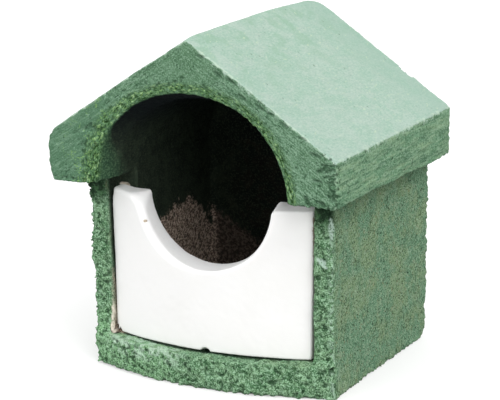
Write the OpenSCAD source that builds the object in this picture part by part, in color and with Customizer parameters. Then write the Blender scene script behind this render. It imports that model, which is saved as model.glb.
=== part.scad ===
// Half-open nest box cast in wood-fibre concrete: a walled body on a floor slab,
// a gabled roof with a barrel vault under it, and a loose bowed panel in the front.
// Millimetres. The box stands on z = 0, faces -Y, and is centred on x = 0 and y = 0.

/* [Roof] */
// Width of the roof across its eaves
roof_w = 217; // [200:1:270]
// Depth of the roof from front face to back face
roof_d = 181; // [150:1:230]
// Height of the ridge above the underside of the floor
ridge_z = 240; // [225:1:300]
// Height of the upright edge along each eave
fascia_h = 30.5; // [20:0.5:45]

/* [Body] */
// Width of the body across its side walls
body_w = 184; // [170:1:196]
// Height of the walls, up to the underside of the roof
wall_top_z = 137; // [129:1:165]
// How far the wall ends stand behind the roof's front face
front_setback = 26; // [20:1:40]
// Thickness of the back wall
back_t = 32; // [15:1:45]
// Thickness of the floor slab
floor_t = 23.5; // [15:0.5:28]
// Radius of the bowed front edge of the sill
sill_r = 222; // [180:1:300]
// Radius of the rounded edge under the back of the floor
heel_r = 14; // [2:0.5:15]

/* [Vault and chamber] */
// Radius of the vault, which is also half the width of the nest chamber
vault_r = 66; // [50:0.5:72]
// How much wider the vault's flared mouth is than the vault, all round
flare_w = 7.5; // [0.5:0.5:10]
// Depth of the flare, from the roof's front face
flare_d = 20; // [5:1:26]
// Height of the vault's centre line
vault_z = 131.5; // [120:0.5:136]

/* [Front panel] */
// Width of the panel along its top
panel_top_w = 155; // [130:0.5:160]
// Width of the panel along its foot
panel_foot_w = 151; // [130:0.5:160]
// Height of the panel
panel_h = 101; // [85:1:104]
// Thickness of the panel at its upright edges
panel_edge_t = 11; // [8:0.5:18]
// Radius of the panel's bowed front face
panel_r = 207; // [160:0.5:300]
// How far the panel's front corners stand behind the wall ends
panel_inset = 4.5; // [2:0.5:12]
// Radius of the half-round notch in the top of the panel
notch_r = 50; // [35:0.5:60]
// Height of the notch's centre above the top of the panel
notch_rise = 4.5; // [0:0.5:15]
// Gap between the panel and the wall ends at each side
side_gap = 1.2; // [0.5:0.1:3]
// Gap between the panel and what it rests on or against
seat_gap = 0.3; // [0.2:0.05:1]

/* [Hanging hole] */
// Diameter of the hole for a nail or screw through the back
hole_d = 8; // [4:0.5:12]
// Height of the hanging hole
hole_z = 165; // [150:1:185]

/* [Hidden] */
$fn = 120;
cut = 1;

casting_green = [0.25, 0.40, 0.29];
roof_green = [0.36, 0.56, 0.44];
panel_white = [0.93, 0.92, 0.90];

front_y = -roof_d / 2;
back_y = roof_d / 2;
jamb_y = front_y + front_setback;
chamber_back_y = back_y - back_t;
eave_top_z = wall_top_z + fascia_h;

// The panel is flat behind and bowed in front, and its front corners fix the bow's centre
panel_z = floor_t + seat_gap;
panel_top_z = panel_z + panel_h;
panel_half = max(panel_top_w, panel_foot_w) / 2;
corner_y = jamb_y + panel_inset;
bow_y = corner_y + sqrt(pow(panel_r, 2) - pow(panel_half, 2));
panel_back_y = corner_y + panel_edge_t;
shoulder_y = panel_back_y + seat_gap;
notch_z = panel_top_z + notch_rise;

// Half the width of the opening between the jambs, at height z
function opening_half(z) =
    panel_foot_w / 2 + side_gap + (z - panel_z) / panel_h * (panel_top_w - panel_foot_w) / 2;

// The sill's bow starts at the outer corners of the jambs
sill_y = jamb_y + sqrt(pow(sill_r, 2) - pow(body_w / 2, 2));

// An upright slab given by an outline in x and z, between two values of y
module upright(y_from, y_to) {
    translate([0, y_to, 0])
        rotate([90, 0, 0])
            linear_extrude(height = y_to - y_from)
                children();
}

// A round bar along y, as wide at its front end as r_from and at its back end as r_to
module bar_along_y(r_from, r_to, y_from, y_to, z) {
    translate([0, y_from, z])
        rotate([-90, 0, 0])
            cylinder(h = y_to - y_from, r1 = r_from, r2 = r_to);
}

// The vault and its flared mouth, as the space that they take out of the roof
module vault_space() {
    flare_rate = flare_w / flare_d;
    mouth_r = vault_r + flare_w + cut * flare_rate;
    bar_along_y(vault_r, vault_r, front_y, chamber_back_y, vault_z);
    bar_along_y(mouth_r, vault_r, front_y - cut, front_y + flare_d, vault_z);
}

module hanging_hole() {
    bar_along_y(hole_d / 2, hole_d / 2, chamber_back_y - cut, back_y + cut, hole_z);
}

// Slab under the walls, with its lower back edge rounded
module floor_slab() {
    color(casting_green)
        difference() {
            translate([-body_w / 2, jamb_y, 0])
                cube([body_w, back_y - jamb_y, floor_t]);
            heel_waste();
        }
}

module heel_waste() {
    difference() {
        translate([-body_w / 2 - cut, back_y - heel_r, -cut])
            cube([body_w + 2 * cut, heel_r + cut, heel_r + cut]);
        translate([-body_w / 2 - 2 * cut, back_y - heel_r, heel_r])
            rotate([0, 90, 0])
                cylinder(h = body_w + 4 * cut, r = heel_r);
    }
}

// Bowed ledge that the floor slab shows in front of the panel
module front_sill() {
    color(casting_green)
        intersection() {
            translate([0, sill_y, 0])
                cylinder(h = floor_t, r = sill_r);
            translate([-body_w / 2, jamb_y - sill_r, 0])
                cube([body_w, sill_r, floor_t]);
        }
}

// Front end of a side wall, thinned for the panel to slide in beside it
module jamb() {
    color(casting_green)
        upright(jamb_y, shoulder_y)
            polygon([
                [opening_half(floor_t), floor_t],
                [body_w / 2, floor_t],
                [body_w / 2, wall_top_z],
                [opening_half(wall_top_z), wall_top_z]
            ]);
}

module right_jamb() {
    jamb();
}

module left_jamb() {
    mirror([1, 0, 0]) jamb();
}

// Side wall of the chamber, flush inside with the foot of the vault
module side_wall() {
    color(casting_green)
        translate([vault_r, shoulder_y, floor_t])
            cube([body_w / 2 - vault_r, back_y - shoulder_y, wall_top_z - floor_t]);
}

module right_wall() {
    side_wall();
}

module left_wall() {
    mirror([1, 0, 0]) side_wall();
}

module back_wall() {
    color(casting_green)
        translate([-vault_r, chamber_back_y, floor_t])
            cube([2 * vault_r, back_t, wall_top_z - floor_t]);
}

// Half of the gable's outline, from the ridge line to the right-hand eave
module half_gable() {
    polygon([
        [0, wall_top_z],
        [roof_w / 2, wall_top_z],
        [roof_w / 2, eave_top_z],
        [0, ridge_z]
    ]);
}

module roof_half() {
    color(roof_green)
        difference() {
            upright(front_y, chamber_back_y) half_gable();
            vault_space();
        }
}

module right_roof_half() {
    roof_half();
}

module left_roof_half() {
    mirror([1, 0, 0]) roof_half();
}

// Solid back end of the roof, which closes the vault and carries the box on its nail
module rear_gable() {
    color(roof_green)
        difference() {
            upright(chamber_back_y, back_y)
                polygon([
                    [-roof_w / 2, wall_top_z],
                    [roof_w / 2, wall_top_z],
                    [roof_w / 2, eave_top_z],
                    [0, ridge_z],
                    [-roof_w / 2, eave_top_z]
                ]);
            hanging_hole();
        }
}

// Loose panel with a flat back and a bowed front, slightly narrower at its foot
module front_panel() {
    color(panel_white)
        difference() {
            intersection() {
                upright(front_y - panel_r, panel_back_y)
                    polygon([
                        [-panel_foot_w / 2, panel_z],
                        [panel_foot_w / 2, panel_z],
                        [panel_top_w / 2, panel_top_z],
                        [-panel_top_w / 2, panel_top_z]
                    ]);
                translate([0, bow_y, panel_z])
                    cylinder(h = panel_h, r = panel_r);
            }
            bar_along_y(notch_r, notch_r, front_y, panel_back_y + cut, notch_z);
        }
}

floor_slab();
front_sill();
left_jamb();
right_jamb();
left_wall();
right_wall();
back_wall();
left_roof_half();
right_roof_half();
rear_gable();
front_panel();
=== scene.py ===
"""Half-open nest box of painted wood-fibre concrete: body casting, roof casting and loose front panel.

Each casting is a solid described by distances in millimetres, roughened with seeded noise, and turned
into a closed mesh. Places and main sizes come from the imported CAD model. The unevenness and the wear
of a hand-cast box are added here, inside the CAD model's box.
"""
import math

import bmesh
import bpy
import numpy as np
from mathutils import Matrix, Vector


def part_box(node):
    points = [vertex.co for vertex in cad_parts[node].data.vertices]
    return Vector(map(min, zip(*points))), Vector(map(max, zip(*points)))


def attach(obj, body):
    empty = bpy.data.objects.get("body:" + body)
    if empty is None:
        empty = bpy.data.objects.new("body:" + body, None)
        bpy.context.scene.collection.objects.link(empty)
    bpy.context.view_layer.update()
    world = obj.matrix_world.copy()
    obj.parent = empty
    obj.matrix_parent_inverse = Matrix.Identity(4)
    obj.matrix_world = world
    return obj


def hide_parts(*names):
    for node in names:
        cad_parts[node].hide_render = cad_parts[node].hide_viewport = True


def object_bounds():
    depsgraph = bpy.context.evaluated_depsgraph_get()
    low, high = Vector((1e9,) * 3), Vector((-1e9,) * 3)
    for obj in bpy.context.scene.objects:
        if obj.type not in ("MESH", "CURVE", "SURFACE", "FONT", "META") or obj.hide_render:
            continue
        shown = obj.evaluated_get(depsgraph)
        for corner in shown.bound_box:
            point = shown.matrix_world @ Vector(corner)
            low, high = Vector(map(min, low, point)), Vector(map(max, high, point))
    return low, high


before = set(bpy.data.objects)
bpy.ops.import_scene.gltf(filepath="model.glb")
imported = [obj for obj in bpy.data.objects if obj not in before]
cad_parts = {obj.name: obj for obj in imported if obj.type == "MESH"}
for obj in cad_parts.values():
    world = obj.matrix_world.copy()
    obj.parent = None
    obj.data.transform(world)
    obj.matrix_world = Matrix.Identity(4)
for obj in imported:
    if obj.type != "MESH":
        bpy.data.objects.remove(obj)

MM = 0.001
CAD_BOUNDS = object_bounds()

# Pitch of the sample grids in millimetres, and triangles in each finished mesh
CASTING_PITCH = 0.85
PANEL_PITCH = 0.8
CASTING_TRIANGLES = 190000
PANEL_TRIANGLES = 90000

# Spread of the B-spline noise before it is scaled to 1
NOISE_SPREAD = 0.19
# Distance that a filled sample point gets, in millimetres, and how often the filling is repeated
FILLED = -0.02
FILL_PASSES = 8
# Edges shorter than this, in metres, are closed up
NO_LENGTH = 1e-6


def box_mm(node):
    """Lowest and highest corners of a CAD node in millimetres."""
    low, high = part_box(node)
    return [float(v) / MM for v in low], [float(v) / MM for v in high]


WALL_LOW, WALL_HIGH = box_mm("right_wall")
SILL_LOW, SILL_HIGH = box_mm("front_sill")
JAMB_LOW, JAMB_HIGH = box_mm("right_jamb")
ROOF_LOW, ROOF_HIGH = box_mm("right_roof_half")
REAR_HIGH = box_mm("rear_gable")[1]
PANEL_LOW, PANEL_HIGH = box_mm("front_panel")

BODY_HALF = WALL_HIGH[0]
WALL_TOP = WALL_HIGH[2]
FLOOR_TOP = SILL_HIGH[2]
FRONT_Y, BACK_Y = ROOF_LOW[1], REAR_HIGH[1]
JAMB_Y, SHOULDER_Y = JAMB_LOW[1], JAMB_HIGH[1]
CHAMBER_BACK_Y = ROOF_HIGH[1]
ROOF_HALF, RIDGE_Z = REAR_HIGH[0], REAR_HIGH[2]
VAULT_R = WALL_LOW[0]

# Sizes that the boxes don't give, as in the CAD source, in millimetres
FASCIA_H = 30.5
VAULT_Z = 131.5
FLARE_W = 7.5
FLARE_D = 20.0
SILL_R = 222.0
HOLE_R = 4.0
HOLE_Z = 165.0
PANEL_R = 207.0
PANEL_FOOT_HALF = 75.5
PANEL_TOP_HALF = PANEL_HIGH[0]
NOTCH_Z = PANEL_HIGH[2] + 4.5
SIDE_GAP = 1.2

# Unevenness and wear beyond the CAD, in millimetres, but for the power and squash, which are plain
# numbers. The heel and the notch are worn: the CAD has 14 and 50 there
HEEL_R = 16.0
RIDGE_WEAR = 1.5
RIGHT_RISE = 1.2
REAR_LIFT = 1.4
REAR_ROUNDING = 10.0
MOUTH_BEVEL = 6.5
MOUTH_BEVEL_DEPTH = 1.3
VAULT_POWER = 2.12
VAULT_SQUASH = 1.017
FOOT_TAPER = 3.0
NOTCH_R = 49.5
NOTCH_SKEW_X = 3.3
NOTCH_SKEW_Z = 1.9
NICK_X = 1.5

EAVE_Z = WALL_TOP + FASCIA_H
SLOPE_LENGTH = math.hypot(RIDGE_Z - EAVE_Z, ROOF_HALF)
SLOPE_SIN = (RIDGE_Z - EAVE_Z) / SLOPE_LENGTH
SLOPE_COS = ROOF_HALF / SLOPE_LENGTH
MOUTH_R = VAULT_R + FLARE_W
SILL_BOW_Y = JAMB_Y + math.sqrt(SILL_R**2 - BODY_HALF**2)
PANEL_BOW_Y = PANEL_LOW[1] + PANEL_R
LEFT_SLOT_X = -PANEL_FOOT_HALF - SIDE_GAP
# Axes of an ellipsoid that is not turned
UPRIGHT = np.eye(3)
# The brush marks on the front lie about along the roof's slopes
BRUSH_TURN = math.radians(34)


# ------ solids as distances

class Grid:
    """Sample points on a regular grid round a box, in millimetres."""

    def __init__(self, low, high, pitch):
        self.pitch = pitch
        # The odd start keeps flat faces off the sample points
        self.axes = [
            np.arange(a - 2.37 * pitch, b + 3 * pitch, pitch, dtype=np.float32) for a, b in zip(low, high)
        ]
        self.x = self.axes[0][:, None, None]
        self.y = self.axes[1][None, :, None]
        self.z = self.axes[2][None, None, :]
        self.shape = tuple(len(a) for a in self.axes)


def rounded_cut(a, b, r):
    """The part inside both a and b, with the edge between them rounded to radius r."""
    both = np.hypot(np.maximum(a + r, 0), np.maximum(b + r, 0))
    return np.minimum(np.maximum(a, b), -r) + both


def rounded_join(a, b, r):
    """The part inside a or b, with the corner between them filled to radius r."""
    return -rounded_cut(-a, -b, r)


def ease(value, start, end):
    """0 before start, 1 after end, and smooth between them."""
    t = np.clip((value - start) / (end - start), 0, 1)
    return t * t * (3 - 2 * t)


def spline_rows(places, cell):
    """For each place, its first row on a lattice of that cell, and cubic B-spline weights of four rows."""
    at = places / cell
    row = np.floor(at).astype(int)
    t = (at - row).astype(np.float32)
    parts = ((1 - t) ** 3, 3 * t**3 - 6 * t**2 + 4, -3 * t**3 + 3 * t**2 + 3 * t + 1, t**3)
    return row - row.min(), [part / 6 for part in parts]


def noise(grid, seed, cell, spots, tall=1.0, deep=1.0, wide=1.0):
    """Smooth random values of unit spread at those grid spots, whose lumps are about two cells across."""
    rng = np.random.default_rng(seed)
    rows = [spline_rows(a, cell * s) for a, s in zip(grid.axes, (wide, deep, tall))]
    lattice = rng.uniform(-1, 1, [row.max() + 4 for row, _ in rows]).astype(np.float32)
    row, weights = rows[0]
    values = sum(w[:, None, None] * lattice[row + k] for k, w in enumerate(weights))
    row, weights = rows[1]
    values = sum(w[:, None] * values[:, row + k] for k, w in enumerate(weights))
    row, weights = rows[2]
    i, j, k = spots
    values = sum(w[k] * values[i, j, row[k] + n] for n, w in enumerate(weights))
    return values / NOISE_SPREAD


def carve(field, grid, rng, centre, radii, turn=None):
    """Takes an ellipsoid out of the solid. turn is a 3 by 3 matrix whose rows are its axes."""
    if turn is None:
        turn = np.linalg.qr(rng.normal(size=(3, 3)))[0]
    reach = max(radii) + 2 * grid.pitch
    window = []
    for axis, c in zip(grid.axes, centre):
        window.append(slice(*np.searchsorted(axis, (c - reach, c + reach))))
    x = grid.axes[0][window[0]][:, None, None] - centre[0]
    y = grid.axes[1][window[1]][None, :, None] - centre[1]
    z = grid.axes[2][window[2]][None, None, :] - centre[2]
    size = 0
    for row, radius in zip(turn, radii):
        size = size + ((row[0] * x + row[1] * y + row[2] * z) / radius) ** 2
    bite = (1 - np.sqrt(size)) * min(radii)
    part = field[tuple(window)]
    np.maximum(part, bite, out=part)


def carve_all(field, grid, rng, bites):
    for centre, radii, turn in bites:
        carve(field, grid, rng, centre, radii, turn)


def slanted(angle, side=1):
    """Axes of an ellipsoid: along a line at that angle in the front's plane, across it, and inward."""
    along = np.array((side * math.cos(angle), 0, math.sin(angle)))
    return along, (-along[2], 0, along[0]), (0, 1, 0)


def within(field, grid, low, high):
    """Keeps the solid inside the box from low to high."""
    for axis, a, b in zip((grid.x, grid.y, grid.z), low, high):
        field = np.maximum(field, np.maximum(a - axis, axis - b))
    return field


def inside_any(points, bites, margin):
    """1 inside any of those ellipsoids grown by margin, 0 outside, with a soft edge."""
    most = np.zeros(len(points))
    for centre, radii, turn in bites:
        local = (points - np.array(centre)) @ np.array(turn).T / (np.array(radii) + margin)
        most = np.maximum(most, ease(-np.linalg.norm(local, axis=1), -1.05, -0.85))
    return most


def chip_edge(field, grid, rng, start, end, count, radius, spread, along=1.6):
    """Small random bites along the edge from start to end."""
    start, end = np.array(start, float), np.array(end, float)
    for _ in range(count):
        centre = start + (end - start) * rng.uniform() + rng.normal(size=3) * spread
        r = radius * rng.uniform(0.5, 1.2)
        carve(field, grid, rng, centre, (r * along, r, r * 0.7))


def near_surface(field, grid, faces, depth):
    """The grid spots within depth of the surface, and each face's distances there."""
    band = np.nonzero(np.abs(field) < depth)
    return band, {name: np.broadcast_to(d, grid.shape)[band] for name, d in faces.items()}


def hump(distance, centre, width):
    """1 at the centre, falling off smoothly over the width."""
    return np.exp(-((distance - centre) / width) ** 2)


def face_shares(faces):
    """How much each face rules at each point, from its distances. The shares add up to 1."""
    powers = {name: np.exp(0.9 * np.clip(d, -30, 8)) for name, d in faces.items()}
    total = sum(powers.values())
    return {name: p / total for name, p in powers.items()}


def sampled(grid, volume, points):
    """The volume's values at points in millimetres."""
    at = []
    for k, axis in enumerate(grid.axes):
        at.append(np.clip((points[:, k] - axis[0]) / grid.pitch, 0, len(axis) - 1.001))
    low = [a.astype(int) for a in at]
    part = [a - b for a, b in zip(at, low)]
    result = 0
    for corner in np.ndindex(2, 2, 2):
        weight = 1
        for p, c in zip(part, corner):
            weight = weight * (p if c else 1 - p)
        result = result + weight * volume[tuple(b + c for b, c in zip(low, corner))]
    return result


# ------ meshes

def square_corners(field, axis):
    """The four corners, in order round it, of every grid square that lies across an axis."""
    u, v = (axis + 1) % 3, (axis + 2) % 3
    corners = []
    for du, dv in ((0, 0), (1, 0), (1, 1), (0, 1)):
        part = [slice(None)] * 3
        part[u] = slice(du, field.shape[u] - 1 + du)
        part[v] = slice(dv, field.shape[v] - 1 + dv)
        corners.append(field[tuple(part)])
    return corners


def fill_diagonals(field):
    """Fills a gap wherever solid meets solid only across a diagonal, which would pinch the mesh."""
    for _ in range(FILL_PASSES):
        found = 0
        for axis in range(3):
            a, b, c, d = square_corners(field, axis)
            for solid, other_solid, gap, other_gap in ((a, c, b, d), (b, d, a, c)):
                pinched = (solid < 0) & (other_solid < 0) & (gap >= 0) & (other_gap >= 0)
                nearer = gap <= other_gap
                gap[pinched & nearer] = FILLED
                other_gap[pinched & ~nearer] = FILLED
                found += np.count_nonzero(pinched)
        if found == 0:
            break


def surface_net(field, grid):
    """Closed quad mesh where the field is 0, with the solid where it is negative."""
    fill_diagonals(field)
    inside = field < 0
    cells = np.array(field.shape) - 1
    corners, points, flips = [], [], []
    for axis in range(3):
        first = [slice(None)] * 3
        second = [slice(None)] * 3
        first[axis], second[axis] = slice(0, -1), slice(1, None)
        crossed = inside[tuple(first)] != inside[tuple(second)]
        here = np.argwhere(crossed)
        before = field[tuple(first)][crossed]
        after = field[tuple(second)][crossed]
        point = here.astype(float)
        point[:, axis] += before / (before - after)
        u, v = (axis + 1) % 3, (axis + 2) % 3
        ring = []
        for du, dv in ((-1, -1), (0, -1), (0, 0), (-1, 0)):
            cell = here.copy()
            cell[:, u] += du
            cell[:, v] += dv
            ring.append((cell[:, 0] * cells[1] + cell[:, 1]) * cells[2] + cell[:, 2])
        corners.append(np.stack(ring, 1))
        points.append(point)
        flips.append(before > 0)
    corners = np.concatenate(corners)
    points = np.concatenate(points)
    flips = np.concatenate(flips)
    names, quads = np.unique(corners, return_inverse=True)
    quads = quads.reshape(corners.shape)
    counts = np.bincount(quads.ravel(), minlength=len(names))
    places = np.empty((len(names), 3))
    for k in range(3):
        spread = np.repeat(points[:, k], 4)
        places[:, k] = np.bincount(quads.ravel(), spread, len(names)) / counts
        places[:, k] = grid.axes[k][0] + places[:, k] * grid.pitch
    quads[flips] = quads[flips][:, ::-1]
    return places, quads


def largest_part(places, quads):
    """Leaves out every loose crumb, even one that touches the rest at a corner."""
    ends = np.sort(np.stack([quads, np.roll(quads, -1, axis=1)], -1), -1)
    _, edges = np.unique(ends[..., 0] * len(places) + ends[..., 1], return_inverse=True)
    edges = edges.reshape(quads.shape)
    label = np.arange(edges.max() + 1)
    while True:
        lowest = label.copy()
        np.minimum.at(lowest, edges.ravel(), np.repeat(label[edges].min(1), 4))
        lowest = lowest[lowest]
        if (lowest == label).all():
            break
        label = lowest
    part = label[edges[:, 0]]
    quads = quads[part == np.bincount(part).argmax()]
    used, index = np.unique(quads, return_inverse=True)
    return places[used], index.reshape(quads.shape)


def make_object(name, field, grid, triangles):
    """The solid as a smooth-shaded object in metres, thinned to about that many triangles."""
    places, quads = largest_part(*surface_net(field, grid))
    mesh = bpy.data.meshes.new(name)
    mesh.vertices.add(len(places))
    mesh.vertices.foreach_set("co", (places * MM).astype(np.float32).ravel())
    mesh.loops.add(quads.size)
    mesh.loops.foreach_set("vertex_index", quads.astype(np.int32).ravel())
    mesh.polygons.add(len(quads))
    mesh.polygons.foreach_set("loop_start", np.arange(0, quads.size, 4, dtype=np.int32))
    mesh.update(calc_edges=True)
    mesh.validate()
    made = bpy.data.objects.new(name, mesh)
    bpy.context.scene.collection.objects.link(made)
    if 2 * len(quads) > triangles:
        thin = made.modifiers.new("thin", "DECIMATE")
        thin.ratio = triangles / (2 * len(quads))
        whole = bpy.context.evaluated_depsgraph_get()
        thinned = bpy.data.meshes.new_from_object(made.evaluated_get(whole))
        made.modifiers.clear()
        made.data = thinned
        bpy.data.meshes.remove(mesh)
        thinned.name = name
    low, high = (np.array(corner, float) / MM for corner in CAD_BOUNDS)
    kept = np.clip(vertices_mm(made), low, high) * MM
    made.data.vertices.foreach_set("co", kept.astype(np.float32).ravel())
    drop_bad_faces(made.data)
    made.data.shade_smooth()
    return made


def drop_bad_faces(mesh):
    """Takes away faces without area, and pairs of faces on the same corners."""
    work = bmesh.new()
    work.from_mesh(mesh)
    bmesh.ops.dissolve_degenerate(work, dist=NO_LENGTH, edges=work.edges)
    work.verts.index_update()
    on_corners = {}
    for face in work.faces:
        on_corners.setdefault(frozenset(corner.index for corner in face.verts), []).append(face)
    doubled = [face for faces in on_corners.values() if len(faces) > 1 for face in faces]
    bmesh.ops.delete(work, geom=doubled, context="FACES")
    work.to_mesh(mesh)
    work.free()


def vertices_mm(made):
    co = np.empty(len(made.data.vertices) * 3, np.float32)
    made.data.vertices.foreach_get("co", co)
    return co.reshape(-1, 3).astype(float) / MM


def paint(made, name, values):
    """Stores one number per vertex for the material to read."""
    layer = made.data.attributes.new(name, "FLOAT", "POINT")
    layer.data.foreach_set("value", np.asarray(values, np.float32))


# ------ roof casting

def vault_radius(x, z):
    """Distance from the vault's axis, for an arch a little flatter on top than a circle."""
    rise = (z - VAULT_Z) * VAULT_SQUASH
    return (np.abs(x) ** VAULT_POWER + np.abs(rise) ** VAULT_POWER) ** (1 / VAULT_POWER)


def roof_faces(x, y, z):
    """Distances outside each face of the roof casting, in millimetres."""
    depth = y - FRONT_Y
    worn = RIDGE_WEAR * (1 - ease(depth, 0, 12)) * ease(-np.abs(x), -48, -12)
    left_rise = RIDGE_Z - worn - EAVE_Z
    right_rise = RIDGE_Z + RIGHT_RISE - worn - EAVE_Z
    lift = REAR_LIFT * np.clip(depth / (BACK_Y - FRONT_Y), 0, 1)
    left = (z - EAVE_Z - left_rise * (1 + x / ROOF_HALF)) * SLOPE_COS - 0.4
    right = (z - EAVE_Z - lift - (right_rise - lift) * (1 - x / ROOF_HALF)) * SLOPE_COS
    mid_z = WALL_TOP + 0.5 * FASCIA_H
    below = np.clip((mid_z - z) / (mid_z - WALL_TOP), 0, 1.2)
    lean = 0.7 * below**1.3 * (x > 0)
    from_axis = vault_radius(x, z)
    bevel = np.clip((MOUTH_R + MOUTH_BEVEL - from_axis) / MOUTH_BEVEL, 0, 1)
    reach = VAULT_R + FLARE_W * np.clip(1 - depth / FLARE_D, 0, 1.1)
    drop = 2.0 * ease(-x, 60, 90) + 1.8 * ease(x, 80, 100) * ease(y, -40, 60)
    # A plane cuts off the lower left corner, at the front only
    broken = 0.95 * (-x - ROOF_HALF) + 0.31 * (WALL_TOP - z) + 2.4 - 9.0 * ease(y, -60, -20)
    return {
        "slope": rounded_cut(left, right, 1.6 + REAR_ROUNDING * np.clip((y - 25) / 65, 0, 1)),
        "fascia": rounded_cut(np.abs(x) - ROOF_HALF + lean, broken, 2.0),
        "front": MOUTH_BEVEL_DEPTH * bevel - depth,
        "back": y - BACK_Y,
        "soffit": WALL_TOP - drop - z,
        "vault": -rounded_cut(from_axis - reach, y - CHAMBER_BACK_Y, 5.0),
    }


def roof_solid(faces, x, y):
    left_front = ease(-x, 60, 100) * ease(-y, 40, 80)
    shell = rounded_cut(faces["slope"], faces["fascia"], 1.0 + 5.2 * left_front)
    shell = rounded_cut(shell, faces["front"], 1.0 + 0.6 * left_front)
    shell = rounded_cut(shell, faces["back"], 0.7)
    shell = rounded_cut(shell, faces["soffit"], 1.0)
    at_mouth = ease(-y, -FRONT_Y - 14, -FRONT_Y - 5)
    return rounded_cut(shell, faces["vault"], 0.5 + (0.4 + 3.0 * ease(-x, 55, 72)) * at_mouth)


def roughen_roof(field, grid, faces):
    """Roughens the surface by face, most at the mouth's rim and the front right corner."""
    band, near = near_surface(field, grid, faces, 3)
    share = face_shares(near)
    coarse = noise(grid, 11, 1.6, band)
    fine = noise(grid, 12, 1.0, band)
    broad = noise(grid, 13, 10.0, band)
    patchy = ease(noise(grid, 14, 7.0, band), 0.2, 1.2)
    strata = noise(grid, 15, 1.5, band, deep=9.0) * share["fascia"]
    x = grid.axes[0][band[0]]
    rim = hump(near["vault"], -5, 4.5) * hump(near["front"], -1.5, 5.0) * (0.5 + 1.3 * ease(-x, 50, 75))
    corner = hump(near["fascia"], -1, 9.0) * hump(near["front"], -1, 5.0) * ease(x, 80, 100)
    smooth_part = 0.05 * share["slope"] + 0.15 * share["fascia"] + 0.13 * share["front"]
    rough_part = 0.2 * share["back"] + 0.25 * share["soffit"] + 0.2 * share["vault"]
    even = (smooth_part + rough_part) * (0.7 * coarse + 0.6 * fine) + 0.28 * np.minimum(strata, 0.6)
    painted = 1 - share["slope"]
    ragged = (0.10 * patchy * painted + 0.60 * rim + 0.60 * corner) * (np.abs(coarse) - 0.8 + 0.5 * fine)
    field[band] -= even + ragged + (0.14 - 0.04 * share["slope"]) * broad - 0.08 * painted
    relief = np.zeros(grid.shape, np.float32)
    relief[band] = ragged * 2 + 0.25 * fine
    return relief


def chip_roof_edges(field, grid, rng):
    ridge = (0, FRONT_Y, RIDGE_Z)
    for side, much in ((-1, 0.5), (1, 1.0)):
        eave = (side * ROOF_HALF, FRONT_Y, EAVE_Z)
        foot = (side * ROOF_HALF, FRONT_Y, WALL_TOP)
        rear_eave = (side * ROOF_HALF, BACK_Y, EAVE_Z)
        rear_foot = (side * ROOF_HALF, BACK_Y, WALL_TOP)
        mouth = (side * (MOUTH_R + 3), FRONT_Y, WALL_TOP)
        for start, end, count, radius, spread, along in (
            (eave, ridge, int(30 * much), 0.9, 0.5, 2.6),
            (eave, foot, int(30 * much), 1.6 * much, 1.0, 2.4),
            (eave, rear_eave, 34, 0.8, 0.5, 2.4),
            (foot, rear_foot, 34, 1.1, 0.6, 2.0),
            (foot, mouth, 22, 1.2, 0.7, 2.2),
            (rear_eave, rear_foot, 12, 1.0, 0.4, 1.6),
        ):
            chip_edge(field, grid, rng, start, end, count, radius, spread, along)


def roof_cracks(rng):
    """Creases at the front right corner, and along the front edge of the right slope."""
    cracks = []
    for _ in range(18):
        centre = (ROOF_HALF - rng.exponential(6.0), FRONT_Y - 0.3, rng.uniform(WALL_TOP + 1, EAVE_Z - 2))
        r = rng.uniform(0.7, 1.4)
        cracks.append((centre, (r * 3.2, r * 0.8, r * 1.5), slanted(rng.normal() * 0.35 - 0.1)))
    for share in (0.10, 0.22, 0.31, 0.38, 0.50, 0.57, 0.66, 0.78, 0.86, 0.93):
        z = RIDGE_Z - share * (RIDGE_Z - EAVE_Z) - rng.uniform(1.5, 9.0)
        turn = slanted(-0.12 - 0.5 * rng.uniform())
        r = rng.uniform(0.8, 1.1)
        cracks.append(((ROOF_HALF * share, FRONT_Y - 0.2, z), (r * 4.5, r, r * 1.6), turn))
    return cracks


def flake_roof(field, grid, rng):
    """Flakes round the mouth, scores down the front, and chips off the slope's and the fascia's edges."""
    for angle in rng.uniform(0, math.pi, 130):
        out = MOUTH_R + 1.4 + abs(rng.normal()) * (2.4 + 6.0 * (angle > 2.6))
        centre = (out * math.cos(angle), FRONT_Y + 0.9, VAULT_Z + out * math.sin(angle))
        r = rng.uniform(0.4, 0.9) * (1 + 0.6 * (angle > 2.4))
        carve(field, grid, rng, centre, (r, r * 2.4, r), slanted(angle))
    for _ in range(60):
        x = rng.uniform(-ROOF_HALF, ROOF_HALF)
        z = RIDGE_Z - abs(x) * (RIDGE_Z - EAVE_Z) / ROOF_HALF - 3 - rng.exponential(9.0)
        r = rng.uniform(0.45, 1.0)
        turn = slanted(-(0.59 + rng.normal() * 0.25), math.copysign(1, x))
        carve(field, grid, rng, (x, FRONT_Y, z), (r * 3.4, r * 0.8, r * 1.2), turn)
    eave = np.array((ROOF_HALF, BACK_Y, EAVE_Z))
    chip = np.array((0, BACK_Y, RIDGE_Z)) * 0.32 + eave * 0.68
    for step, r in ((-4.5, 1.9), (-1.0, 2.6), (3.0, 3.0)):
        centre = chip + np.array((SLOPE_COS, 0, -SLOPE_SIN)) * step
        carve(field, grid, rng, centre, (r * 1.4, r * 1.3, r))
    carve(field, grid, rng, (ROOF_HALF, FRONT_Y + 36, WALL_TOP + 1), (2.0, 2.4, 1.8))


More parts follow.
